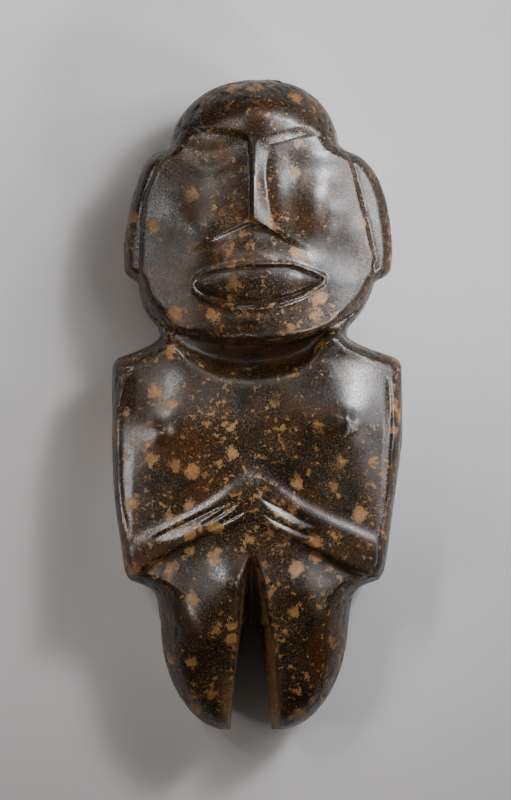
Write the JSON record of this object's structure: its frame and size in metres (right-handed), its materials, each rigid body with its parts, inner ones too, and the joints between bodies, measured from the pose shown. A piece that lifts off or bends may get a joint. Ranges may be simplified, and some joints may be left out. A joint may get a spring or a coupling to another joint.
{
  "type": "stone figurine",
  "caption": "Carved polished stone figurine of a standing woman, schematic face, squared shoulders, hands on the belly, slotted legs, lying on its back.",
  "frame": {"origin": "middle of the bounding box, on the ground flat of the back that the figurine lies on", "axes": "+Y along the figure from its feet to its head, +Z out of its front, +X to the viewer's right as the front is seen with the head up"},
  "size_m": [0.1118, 0.25, 0.0506],
  "materials": {
    "stone": "polished"
  },
  "bodies": {
    "root": {"figurine": "stone"}
  },
  "joints": []
}
